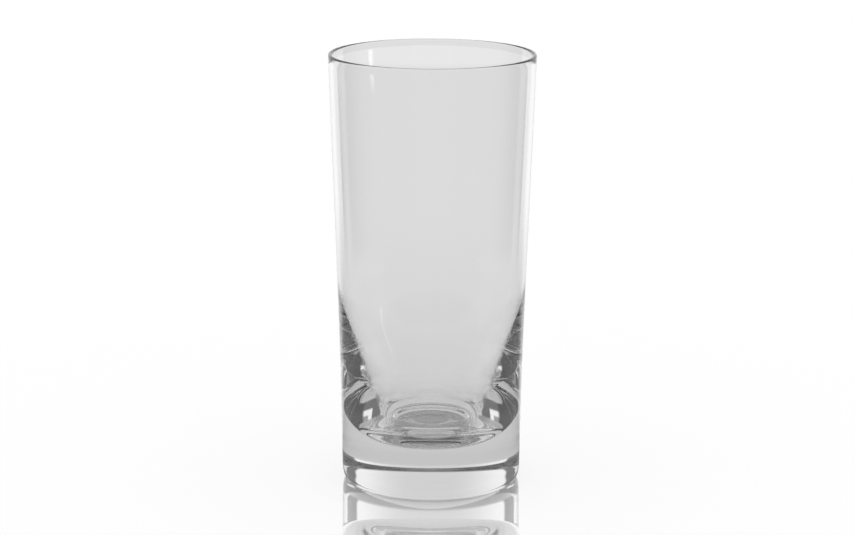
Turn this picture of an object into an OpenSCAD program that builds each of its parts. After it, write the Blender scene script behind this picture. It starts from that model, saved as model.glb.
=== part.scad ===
/* [Outside] */
// Height from the surface the glass stands on to the top of the rim
glass_height = 150; // [120:1:180]
// Outside diameter at the mouth
mouth_diameter = 71.2; // [66:0.1:80]
// Outside diameter just above the rounded foot edge
foot_diameter = 62.2; // [56:0.1:65]
// How far the lower third of the outside is drawn in from a straight taper
lower_draw = 1; // [0:0.1:1.5]
// How far the upper third of the outside is drawn in from a straight taper
upper_draw = 0.1; // [0:0.1:1.5]

/* [Wall] */
// Thickness of the glass at the rim, which is rounded over
rim_thickness = 1.35; // [1:0.05:2.4]
// Thickness of the wall where the rounded inside begins
wall_thickness = 1.5; // [1.2:0.05:3]

/* [Inside] */
// Height where the thin wall ends and the rounded inside begins
shoulder_height = 69.7; // [56:0.1:90]
// Height of the middle of the floor above the surface the glass stands on
base_thickness = 14.3; // [9:0.1:20]

/* [Foot] */
// How far the rounded edge draws in to the resting face
edge_width = 2; // [1:0.1:5]
// Height of the rounded edge
edge_height = 5; // [1:0.1:8]
// Width of the flat ring that the glass stands on, round the hollow under the base
rest_width = 3.1; // [1:0.1:8]
// Depth of the hollow at its middle
hollow_depth = 1; // [0.2:0.1:2]

/* [Hidden] */
$fn = 128;

// Radii and heights that the outline runs through
mouth_radius = mouth_diameter / 2;
foot_radius = foot_diameter / 2;
rest_radius = foot_radius - edge_width;
hollow_radius = rest_radius - rest_width;
rim_radius = rim_thickness / 2;
rim_height = glass_height - rim_radius;

// How far down its span the bowl goes on in line with the wall before its first turn
bowl_line_share = 0.548;

// Places of the bowl's lower pull points, as shares of its radius and of its span in height
bowl_side_shares = [0.577, 0.22];
bowl_corner_shares = [0.693, 0.0175];
bowl_floor_share = 0.577;

// Step up the wall over which its lean at the shoulder is taken
lean_share = 0.99;

// Power that draws the hollow: 2 is an even dish, and more is a flatter middle with a rounder edge
hollow_power = 3;

// Straight steps along each stretch of the outline
hollow_steps = 12;
edge_steps = 10;
wall_steps = 24;
rim_steps = 8;
bore_steps = 20;
bowl_steps = 48;

// A value or point between two others
function mix(from, to, share) = from * (1 - share) + to * share;

// A point on the smooth curve that a list of pull points draws
function curve(pulls, share) =
    len(pulls) == 1
    ? pulls[0]
    : curve([for (i = [0:len(pulls) - 2]) mix(pulls[i], pulls[i + 1], share)], share);

// The outside runs in four pulls at even heights, so its share is also the share of its height
outside_pulls = [
    [foot_radius, edge_height],
    mix([foot_radius, edge_height], [mouth_radius, rim_height], 1 / 3) - [lower_draw, 0],
    mix([foot_radius, edge_height], [mouth_radius, rim_height], 2 / 3) - [upper_draw, 0],
    [mouth_radius, rim_height]
];

// Share of the outside at which the thin wall ends
shoulder_share = (shoulder_height - edge_height) / (rim_height - edge_height);

// Inside of the thin wall, which thickens evenly from the rim down to the shoulder
function bore(share) =
    curve(outside_pulls, mix(1, shoulder_share, share))
    - [mix(rim_thickness, wall_thickness, share), 0];

// Outward and upward run of the wall at the shoulder, for each millimetre of height
bowl_high = bore(1);
wall_run = bore(lean_share) - bowl_high;
wall_lean = wall_run / wall_run.y;

// The rounded inside is one smooth curve from the shoulder down to the middle of the floor
bowl_span = [bowl_high.x, bowl_high.y - base_thickness];
bowl_low = [0, base_thickness];
bowl_pulls = [
    bowl_high,
    bowl_high - wall_lean * bowl_span.y * bowl_line_share,
    bowl_low + [bowl_span.x * bowl_side_shares.x, bowl_span.y * bowl_side_shares.y],
    bowl_low + [bowl_span.x * bowl_corner_shares.x, bowl_span.y * bowl_corner_shares.y],
    bowl_low + [bowl_span.x * bowl_floor_share, 0],
    bowl_low
];

// Half of the glass cut through its axis, from under the base, up the outside and down the inside
outline = [
    for (i = [0:hollow_steps]) let (share = i / hollow_steps)
        [hollow_radius * share, hollow_depth * (1 - pow(share, hollow_power))],
    for (i = [0:edge_steps]) let (turn = 90 * i / edge_steps)
        [rest_radius + edge_width * sin(turn), edge_height * (1 - cos(turn))],
    for (i = [1:wall_steps]) curve(outside_pulls, i / wall_steps),
    for (i = [1:rim_steps]) let (turn = 180 * i / rim_steps)
        [mouth_radius - rim_radius * (1 - cos(turn)), rim_height + rim_radius * sin(turn)],
    for (i = [1:bore_steps]) bore(i / bore_steps),
    for (i = [1:bowl_steps]) curve(bowl_pulls, i / bowl_steps)
];

// The glass, turned in one piece
module tumbler()
{
    color("gainsboro")
        rotate_extrude()
            polygon(outline);
}

tumbler();
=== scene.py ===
"""A tall clear drinking glass on a polished pale floor, in a softly lit studio."""

import math

import bmesh
import bpy
from mathutils import Euler, Matrix, Vector


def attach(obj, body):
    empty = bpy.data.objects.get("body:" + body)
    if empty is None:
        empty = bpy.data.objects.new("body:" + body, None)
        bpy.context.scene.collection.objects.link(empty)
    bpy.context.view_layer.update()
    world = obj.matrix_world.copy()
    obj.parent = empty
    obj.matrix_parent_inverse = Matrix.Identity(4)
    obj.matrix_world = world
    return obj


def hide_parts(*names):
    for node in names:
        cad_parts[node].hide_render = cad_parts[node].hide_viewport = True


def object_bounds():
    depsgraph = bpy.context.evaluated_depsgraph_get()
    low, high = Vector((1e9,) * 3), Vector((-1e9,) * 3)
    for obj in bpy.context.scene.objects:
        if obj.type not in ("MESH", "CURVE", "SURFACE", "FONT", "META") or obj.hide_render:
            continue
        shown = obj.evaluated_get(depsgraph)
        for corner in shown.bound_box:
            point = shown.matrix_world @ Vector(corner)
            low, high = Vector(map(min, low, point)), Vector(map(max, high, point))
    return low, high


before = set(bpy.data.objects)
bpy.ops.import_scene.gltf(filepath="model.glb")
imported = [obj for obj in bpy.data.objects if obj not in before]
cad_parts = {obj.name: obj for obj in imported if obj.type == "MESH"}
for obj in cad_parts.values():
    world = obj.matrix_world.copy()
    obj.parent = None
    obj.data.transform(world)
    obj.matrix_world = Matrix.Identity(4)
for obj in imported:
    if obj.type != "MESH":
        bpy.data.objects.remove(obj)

CAD_LOW, CAD_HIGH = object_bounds()

# Lengths are in metres, and MM brings millimetres to them
MM = 0.001

# The glass, with the sizes of part.scad. Its height and mouth come from the frame.
NODE = "tumbler"
SLOT = "clear_glass"
GLASS_HEIGHT = CAD_HIGH.z
MOUTH_RADIUS = -CAD_LOW.x
FOOT_RADIUS = 31.1 * MM
LOWER_DRAW = 1 * MM
UPPER_DRAW = 0.1 * MM
RIM_THICKNESS = 1.35 * MM
WALL_THICKNESS = 1.5 * MM
SHOULDER_HEIGHT = 69.7 * MM
BASE_THICKNESS = 14.3 * MM
EDGE_WIDTH = 2 * MM
EDGE_HEIGHT = 5 * MM
REST_WIDTH = 3.1 * MM
HOLLOW_DEPTH = 1 * MM
HOLLOW_POWER = 3

# Shares that place the pull points of the rounded inside
BOWL_LINE_SHARE = 0.548
BOWL_SIDE_SHARES = (0.577, 0.22)
BOWL_CORNER_SHARES = (0.693, 0.0175)
BOWL_FLOOR_SHARE = 0.577
LEAN_SHARE = 0.99

# Steps round the axis and along each stretch of the outline
TURN_STEPS = 384
HOLLOW_STEPS = 28
REST_STEPS = 3
EDGE_STEPS = 24
WALL_STEPS = 56
RIM_STEPS = 16
BORE_STEPS = 36
BOWL_STEPS = 96

# Glass: its index of refraction, and how much light is lost on the way through it, per metre
GLASS_IOR = 1.52
GLASS_LOSS = 3.0

# Camera, solved from the rim ellipse and the outline in the photograph
CAMERA_PLACE = (0.0, -915.46 * MM, 286.61 * MM)
CAMERA_PITCH = math.radians(-13.011)
CAMERA_ROLL = math.radians(0.227)
IMAGE_WIDTH = 855
FOCAL_PIXELS = 2708.7
AXIS_PIXEL = 431.65
SENSOR_WIDTH = 36

# How many surfaces light is followed through
GLASS_BOUNCES = 32
MIRROR_BOUNCES = 24

# The studio. Angles round the glass count from straight behind it, in degrees either way, and
# rises count up from level, in degrees. A level of 1 is white. A pair of angles, rises or
# distances is where a soft change starts and ends, and a pair of levels is before and after it.
# Where a blur goes with such a pair, it is the two edges of a patch, and the blur softens both.
WHITE = 1.0
FLOOR_REACH = 6.0
FLOOR_DROP = 0.02 * MM

# Share of the floor's look that is a mirror; the rest is matt white
FLOOR_MIRROR = 0.77

# What the floor under the glass gives back of the light that falls on it. It is a mirror alone
# there, without the matt white share, which paints the glass's shade under its foot
SHADED_UNDER_MIRROR = 0.65
UNDER_RADIUS = 33 * MM

# The floor near the glass glows with painted light and shade for light that has passed through
# the glass: its level at the foot and further out, behind and in front
BEHIND_REACH = 60 * MM
BEHIND_LEVELS = (0.65, 0.73)
FRONT_REACH = 130 * MM
FRONT_LEVELS = (0.1, 0.51)
FRONT_ANGLES = (100, 125)

# The floor far off begins here
FAR_RADII = (240 * MM, 480 * MM)

# Far behind, the floor's painted light has a grey middle, which widens with distance, darkens
# towards its edges and brightens once at the very end. Beside it the painted floor light is
# nearly white.
MIDDLE_HALF_WIDTH = 38 * MM
MIDDLE_SPREAD = 0.184
MIDDLE_SHADE = 25 * MM
MIDDLE_BLUR = 4 * MM
MIDDLE_LEVEL = 0.76
SHADE_LEVEL = 0.64
BESIDE_LEVEL = 0.98
LAST_RADII = (915 * MM, 960 * MM)
LAST_GAIN = 0.08

# Further round it is dark, and a little lighter in front
DARK_EDGE_ANGLES = (43, 54)
DARK_ANGLES = (70, 95)
DARK_LEVELS = (0.3, 0.5)

# A patch of floor far to the right glows with painted light, though it is no lamp, and the back
# wall shows it as an upright stripe of painted highlight
STRIPE_ANGLES = (99.2, 104.8)
STRIPE_ANGLE_BLUR = 0.8
STRIPE_RADII = (1265 * MM, 1700 * MM)
STRIPE_RADIUS_BLUR = 65 * MM
STRIPE_LEVEL = 2.8

# The floor as the outside of the glass reflects it glows with painted light: behind, at the
# sides and in front
REFLECTED_ANGLES = (35, 50)
REFLECTED_LEVELS = (0.95, 0.37)
REFLECTED_FRONT = 0.46

# Low light: a wall that brightens sideways and a dark gap beside it
WALL_ANGLES = (8, 45)
WALL_LEVELS = (0.8, 1.15)
GAP_ANGLES = (46, 50)
GAP_LEVEL = 0.23

# A bright panel at each side, a dimmer one beyond it, and the dark room in front
PANEL_ANGLES = (65, 69)
PANEL_RISES = (13, 16)
PANEL_LEVEL = 1.3
DIM_ANGLES = (75, 79)
DIM_RISES = (19, 22)
DIM_LEVEL = 0.5
ROOM_ANGLES = (89, 101)
ROOM_LEVEL = 0.13

# High light: a soft ceiling, whose lower edge climbs towards the front and which is brighter
# there, then a band above it that is brighter behind, and the dim top
CEILING_EDGE_ANGLES = (40, 100)
CEILING_EDGE_RISES = (22, 27)
CEILING_EDGE_SPAN = 4
FORWARD_ANGLES = (50, 70)
CEILING_LEVELS = (0.44, 0.65)
BAND_RISES = (50, 54)
BAND_LEVELS = (0.65, 0.18)
TOP_RISES = (69, 73)
TOP_LEVEL = 0.39

# A small lamp high behind the glass
LAMP_ANGLES = (7, 13)
LAMP_RISES = (51, 56)
LAMP_BLUR = 2
LAMP_LEVEL = 1.3


def mix(start, end, share):
    return start * (1 - share) + end * share


def curve(pulls, share):
    """A point on the smooth curve that a list of pull points draws."""
    while len(pulls) > 1:
        pulls = [mix(a, b, share) for a, b in zip(pulls[:-1], pulls[1:])]
    return pulls[0]


def shares(steps):
    return [i / steps for i in range(1, steps + 1)]


def outline():
    """Half of the glass cut through its axis, as (radius, height) from under the base, up the
    outside and down the inside."""
    rim_radius = RIM_THICKNESS / 2
    rest_radius = FOOT_RADIUS - EDGE_WIDTH
    hollow_radius = rest_radius - REST_WIDTH
    foot = Vector((FOOT_RADIUS, EDGE_HEIGHT))
    mouth = Vector((MOUTH_RADIUS, GLASS_HEIGHT - rim_radius))
    outside = [
        foot,
        mix(foot, mouth, 1 / 3) - Vector((LOWER_DRAW, 0)),
        mix(foot, mouth, 2 / 3) - Vector((UPPER_DRAW, 0)),
        mouth,
    ]
    shoulder_share = (SHOULDER_HEIGHT - foot.y) / (mouth.y - foot.y)

    def bore(share):
        wall = mix(RIM_THICKNESS, WALL_THICKNESS, share)
        return curve(outside, mix(1, shoulder_share, share)) - Vector((wall, 0))

    high = bore(1)
    run = bore(LEAN_SHARE) - high
    span = Vector((high.x, high.y - BASE_THICKNESS))
    low = Vector((0, BASE_THICKNESS))
    bowl = [
        high,
        high - run / run.y * span.y * BOWL_LINE_SHARE,
        low + span * Vector(BOWL_SIDE_SHARES),
        low + span * Vector(BOWL_CORNER_SHARES),
        low + Vector((span.x * BOWL_FLOOR_SHARE, 0)),
        low,
    ]

    points = [Vector((0, HOLLOW_DEPTH))]
    for s in shares(HOLLOW_STEPS):
        points.append(Vector((hollow_radius * s, HOLLOW_DEPTH * (1 - s**HOLLOW_POWER))))
    points += [Vector((mix(hollow_radius, rest_radius, s), 0)) for s in shares(REST_STEPS)]
    for s in shares(EDGE_STEPS):
        turn = s * math.pi / 2
        out = EDGE_WIDTH * math.sin(turn)
        up = EDGE_HEIGHT * (1 - math.cos(turn))
        points.append(Vector((rest_radius + out, up)))
    points += [curve(outside, s) for s in shares(WALL_STEPS)]
    for s in shares(RIM_STEPS):
        turn = s * math.pi
        points.append(mouth + Vector((math.cos(turn) - 1, math.sin(turn))) * rim_radius)
    points += [bore(s) for s in shares(BORE_STEPS)]
    points += [curve(bowl, s) for s in shares(BOWL_STEPS)]
    return points


def turned(name, points):
    """A closed mesh from an outline that starts and ends on the axis."""
    mesh = bpy.data.meshes.new(name)
    bm = bmesh.new()
    turns = [2 * math.pi * k / TURN_STEPS for k in range(TURN_STEPS)]
    start = bm.verts.new((0, 0, points[0].y))
    end = bm.verts.new((0, 0, points[-1].y))
    rings = [
        [bm.verts.new((p.x * math.cos(a), p.x * math.sin(a), p.y)) for a in turns]
        for p in points[1:-1]
    ]
    for k in range(TURN_STEPS):
        nxt = (k + 1) % TURN_STEPS
        bm.faces.new((start, rings[0][nxt], rings[0][k]))
        bm.faces.new((end, rings[-1][k], rings[-1][nxt]))
        for lower, upper in zip(rings[:-1], rings[1:]):
            bm.faces.new((lower[k], lower[nxt], upper[nxt], upper[k]))
    for face in bm.faces:
        face.smooth = True
    bm.to_mesh(mesh)
    bm.free()
    piece = bpy.data.objects.new(name, mesh)
    bpy.context.collection.objects.link(piece)
    return piece


class Tree:
    """Short calls that add nodes to a material's or the world's node tree."""

    def __init__(self, owner):
        owner.use_nodes = True
        self.tree = owner.node_tree
        self.tree.nodes.clear()

    def add(self, kind, _settings=None, **inputs):
        node = self.tree.nodes.new(kind)
        for key, value in (_settings or {}).items():
            setattr(node, key, value)
        for key, value in inputs.items():
            self.put(node.inputs[key.replace("_", " ")], value)
        return node

    def put(self, socket, value):
        if isinstance(value, bpy.types.NodeSocket):
            self.tree.links.new(value, socket)
        else:
            socket.default_value = value

    def split(self, vector):
        """The X, Y and Z of a vector."""
        return self.add("ShaderNodeSeparateXYZ", Vector=vector).outputs

    def math(self, operation, *values):
        node = self.add("ShaderNodeMath", {"operation": operation})
        for socket, value in zip(node.inputs, values):
            self.put(socket, value)
        return node.outputs[0]

    def both(self, first, second):
        """The product, which is 1 only where both are."""
        return self.math("MULTIPLY", first, second)

    def ramp(self, value, low, high, at_low, at_high):
        """at_low below low, at_high above high, and a smooth step between."""
        node = self.add("ShaderNodeMapRange", {"interpolation_type": "SMOOTHSTEP"})
        self.put(node.inputs["Value"], value)
        self.put(node.inputs["From Min"], low)
        self.put(node.inputs["From Max"], high)
        self.put(node.inputs["To Min"], at_low)
        self.put(node.inputs["To Max"], at_high)
        return node.outputs["Result"]

    def step(self, value, low, high):
        """0 below low, 1 above high, and a smooth step between."""
        return self.ramp(value, low, high, 0, 1)

    def within(self, value, low, high, blur):
        """1 between low and high, with a soft edge of blur at both."""
        up = self.step(value, low - blur, low + blur)
        down = self.ramp(value, high - blur, high + blur, 1, 0)
        return self.both(up, down)

    def blend(self, factor, first, second):
        """The number first where factor is 0 and second where it is 1."""
        rest = self.math("SUBTRACT", 1.0, factor)
        return self.math("ADD", self.both(rest, first), self.both(factor, second))

    def mix_shader(self, factor, first, second):
        node = self.add("ShaderNodeMixShader")
        self.put(node.inputs[0], factor)
        self.put(node.inputs[1], first)
        self.put(node.inputs[2], second)
        return node.outputs[0]

    def glow(self, level):
        return self.add("ShaderNodeEmission", Strength=level).outputs[0]

    def mirror(self, level):
        colour = (level, level, level, 1)
        return self.add("ShaderNodeBsdfGlossy", Color=colour, Roughness=0.0).outputs[0]


def clear_glass():
    material = bpy.data.materials.new(SLOT)
    t = Tree(material)
    shader = t.add(
        "ShaderNodeBsdfPrincipled",
        Base_Color=(1, 1, 1, 1),
        Roughness=0.0,
        IOR=GLASS_IOR,
        Transmission_Weight=1.0,
    )
    loss = t.add("ShaderNodeVolumeAbsorption", Color=(0, 0, 0, 1), Density=GLASS_LOSS)
    out = t.add("ShaderNodeOutputMaterial")
    t.put(out.inputs["Surface"], shader.outputs[0])
    t.put(out.inputs["Volume"], loss.outputs[0])
    return material


def bearing(t, x, y):
    """How far round from straight behind the glass, in degrees, and more than 0 to the right."""
    return t.math("DEGREES", t.math("ARCTAN2", x, y))


def painted_near_floor(t, radius, front):
    """The painted light and shade that the floor near the glass glows with, seen through it."""
    behind = t.ramp(radius, UNDER_RADIUS, BEHIND_REACH, *BEHIND_LEVELS)
    ahead = t.ramp(radius, UNDER_RADIUS, FRONT_REACH, *FRONT_LEVELS)
    return t.blend(front, behind, ahead)


def painted_far_floor(t, place, radius, turn, angle):
    """The painted light and shade that the floor far off glows with, seen through the glass."""
    x = t.math("ABSOLUTE", place["X"])
    half_width = t.math("MULTIPLY_ADD", place["Y"], MIDDLE_SPREAD, MIDDLE_HALF_WIDTH)
    past_edge = t.math("SUBTRACT", x, half_width)
    middle = t.ramp(past_edge, -MIDDLE_SHADE, -MIDDLE_BLUR, MIDDLE_LEVEL, SHADE_LEVEL)
    behind = t.blend(t.step(past_edge, -MIDDLE_BLUR, MIDDLE_BLUR), middle, BESIDE_LEVEL)
    behind = t.math("ADD", behind, t.ramp(radius, *LAST_RADII, 0, LAST_GAIN))
    dark = t.ramp(angle, *DARK_ANGLES, *DARK_LEVELS)
    level = t.blend(t.step(angle, *DARK_EDGE_ANGLES), behind, dark)
    # Painted highlight: a patch of floor glows brightly, though it is no lamp
    stripe_turn = t.within(turn, *STRIPE_ANGLES, STRIPE_ANGLE_BLUR)
    stripe_radius = t.within(radius, *STRIPE_RADII, STRIPE_RADIUS_BLUR)
    return t.blend(t.both(stripe_turn, stripe_radius), level, STRIPE_LEVEL)


def floor_material():
    """A mirror with some matt white for the camera. Light that has met the glass finds painted
    floor levels of light and shade instead, and a mirror under the foot, left without its matt
    white as painted shade."""
    material = bpy.data.materials.new("floor_polished")
    t = Tree(material)
    path = t.add("ShaderNodeLightPath").outputs
    place = t.split(t.add("ShaderNodeNewGeometry").outputs["Position"])
    square = t.math("ADD", t.both(place["X"], place["X"]), t.both(place["Y"], place["Y"]))
    radius = t.math("SQRT", square)
    turn = bearing(t, place["X"], place["Y"])
    angle = t.math("ABSOLUTE", turn)
    front = t.step(angle, *FRONT_ANGLES)

    matt = t.add("ShaderNodeBsdfDiffuse", Color=(WHITE, WHITE, WHITE, 1)).outputs[0]
    seen = t.mix_shader(FLOOR_MIRROR, matt, t.mirror(WHITE))

    near = painted_near_floor(t, radius, front)
    far = painted_far_floor(t, place, radius, turn, angle)
    # Painted light and shade: the floor glows at set levels for light that has passed through
    # the glass
    through = t.glow(t.blend(t.step(radius, *FAR_RADII), near, far))
    # Painted shade: under the foot, such light finds a mirror without the matt white
    under = t.math("LESS_THAN", radius, UNDER_RADIUS)
    through = t.mix_shader(under, through, t.mirror(SHADED_UNDER_MIRROR))

    # Painted light: the floor glows at set levels where the outside of the glass reflects it
    behind = t.ramp(angle, *REFLECTED_ANGLES, *REFLECTED_LEVELS)
    painted_reflection = t.glow(t.blend(front, behind, REFLECTED_FRONT))
    not_camera = t.math("SUBTRACT", 1.0, path["Is Camera Ray"])
    shader = t.mix_shader(t.both(path["Is Glossy Ray"], not_camera), seen, painted_reflection)
    shader = t.mix_shader(path["Is Transmission Ray"], shader, through)
    out = t.add("ShaderNodeOutputMaterial")
    t.put(out.inputs["Surface"], shader)
    return material


def make_floor():
    mesh = bpy.data.meshes.new("floor")
    r = FLOOR_REACH
    corners = [(-r, -r, 0), (r, -r, 0), (r, r, 0), (-r, r, 0)]
    mesh.from_pydata(corners, [], [(0, 1, 2, 3)])
    mesh.materials.append(floor_material())
    floor = bpy.data.objects.new("floor", mesh)
    floor.location.z = -FLOOR_DROP
    bpy.context.collection.objects.link(floor)


def low_light(t, angle, rise):
    """The wall, the gap, the panels and the room."""
    wall = t.ramp(angle, *WALL_ANGLES, *WALL_LEVELS)
    level = t.blend(t.step(angle, *GAP_ANGLES), wall, GAP_LEVEL)
    panel = t.both(t.step(angle, *PANEL_ANGLES), t.step(rise, *PANEL_RISES))
    level = t.blend(panel, level, PANEL_LEVEL)
    dim = t.both(t.step(angle, *DIM_ANGLES), t.step(rise, *DIM_RISES))
    level = t.blend(dim, level, DIM_LEVEL)
    return t.blend(t.step(angle, *ROOM_ANGLES), level, ROOM_LEVEL)


def high_light(t, angle, rise):
    """The ceiling, the band above it and the top."""
    ceiling = t.ramp(angle, *FORWARD_ANGLES, *CEILING_LEVELS)
    band = t.ramp(angle, *FORWARD_ANGLES, *BAND_LEVELS)
    level = t.blend(t.step(rise, *BAND_RISES), ceiling, band)
    return t.blend(t.step(rise, *TOP_RISES), level, TOP_LEVEL)


def studio_level(t, angle, rise):
    """How bright the studio is in a direction."""
    edge = t.ramp(angle, *CEILING_EDGE_ANGLES, *CEILING_EDGE_RISES)
    over = t.step(t.math("SUBTRACT", rise, edge), 0, CEILING_EDGE_SPAN)
    level = t.blend(over, low_light(t, angle, rise), high_light(t, angle, rise))
    lamp = t.both(t.ramp(angle, *LAMP_ANGLES, 1, 0), t.within(rise, *LAMP_RISES, LAMP_BLUR))
    return t.blend(lamp, level, LAMP_LEVEL)


def make_world():
    """White, except for light that comes through the glass, which finds the studio."""
    world = bpy.data.worlds.new("studio")
    bpy.context.scene.world = world
    t = Tree(world)
    path = t.add("ShaderNodeLightPath").outputs
    way = t.split(t.add("ShaderNodeTexCoord").outputs["Generated"])
    rise = t.math("DEGREES", t.math("ARCSINE", way["Z"]))
    angle = t.math("ABSOLUTE", bearing(t, way["X"], way["Y"]))
    level = t.blend(path["Is Transmission Ray"], WHITE, studio_level(t, angle, rise))
    back = t.add("ShaderNodeBackground", Color=(WHITE, WHITE, WHITE, 1), Strength=level)
    out = t.add("ShaderNodeOutputWorld")
    t.put(out.inputs["Surface"], back.outputs[0])


def make_camera():
    data = bpy.data.cameras.new("camera")
    data.sensor_width = SENSOR_WIDTH
    data.lens = SENSOR_WIDTH * FOCAL_PIXELS / IMAGE_WIDTH
    data.shift_x = (IMAGE_WIDTH / 2 - AXIS_PIXEL) / IMAGE_WIDTH
    camera = bpy.data.objects.new("camera", data)
    bpy.context.collection.objects.link(camera)
    tilt = Euler((math.pi / 2 + CAMERA_PITCH, 0, 0)).to_matrix()
    aim = tilt @ Matrix.Rotation(CAMERA_ROLL, 3, "Z")
    camera.matrix_world = Matrix.Translation(CAMERA_PLACE) @ aim.to_4x4()
    bpy.context.scene.camera = camera


glass = turned("tumbler_glass", outline())
glass.data.materials.append(clear_glass())
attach(glass, "root")
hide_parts(NODE)

make_floor()
make_world()
make_camera()

scene = bpy.context.scene
scene.view_settings.view_transform = "Standard"
scene.cycles.max_bounces = GLASS_BOUNCES
scene.cycles.transmission_bounces = GLASS_BOUNCES
scene.cycles.glossy_bounces = MIRROR_BOUNCES
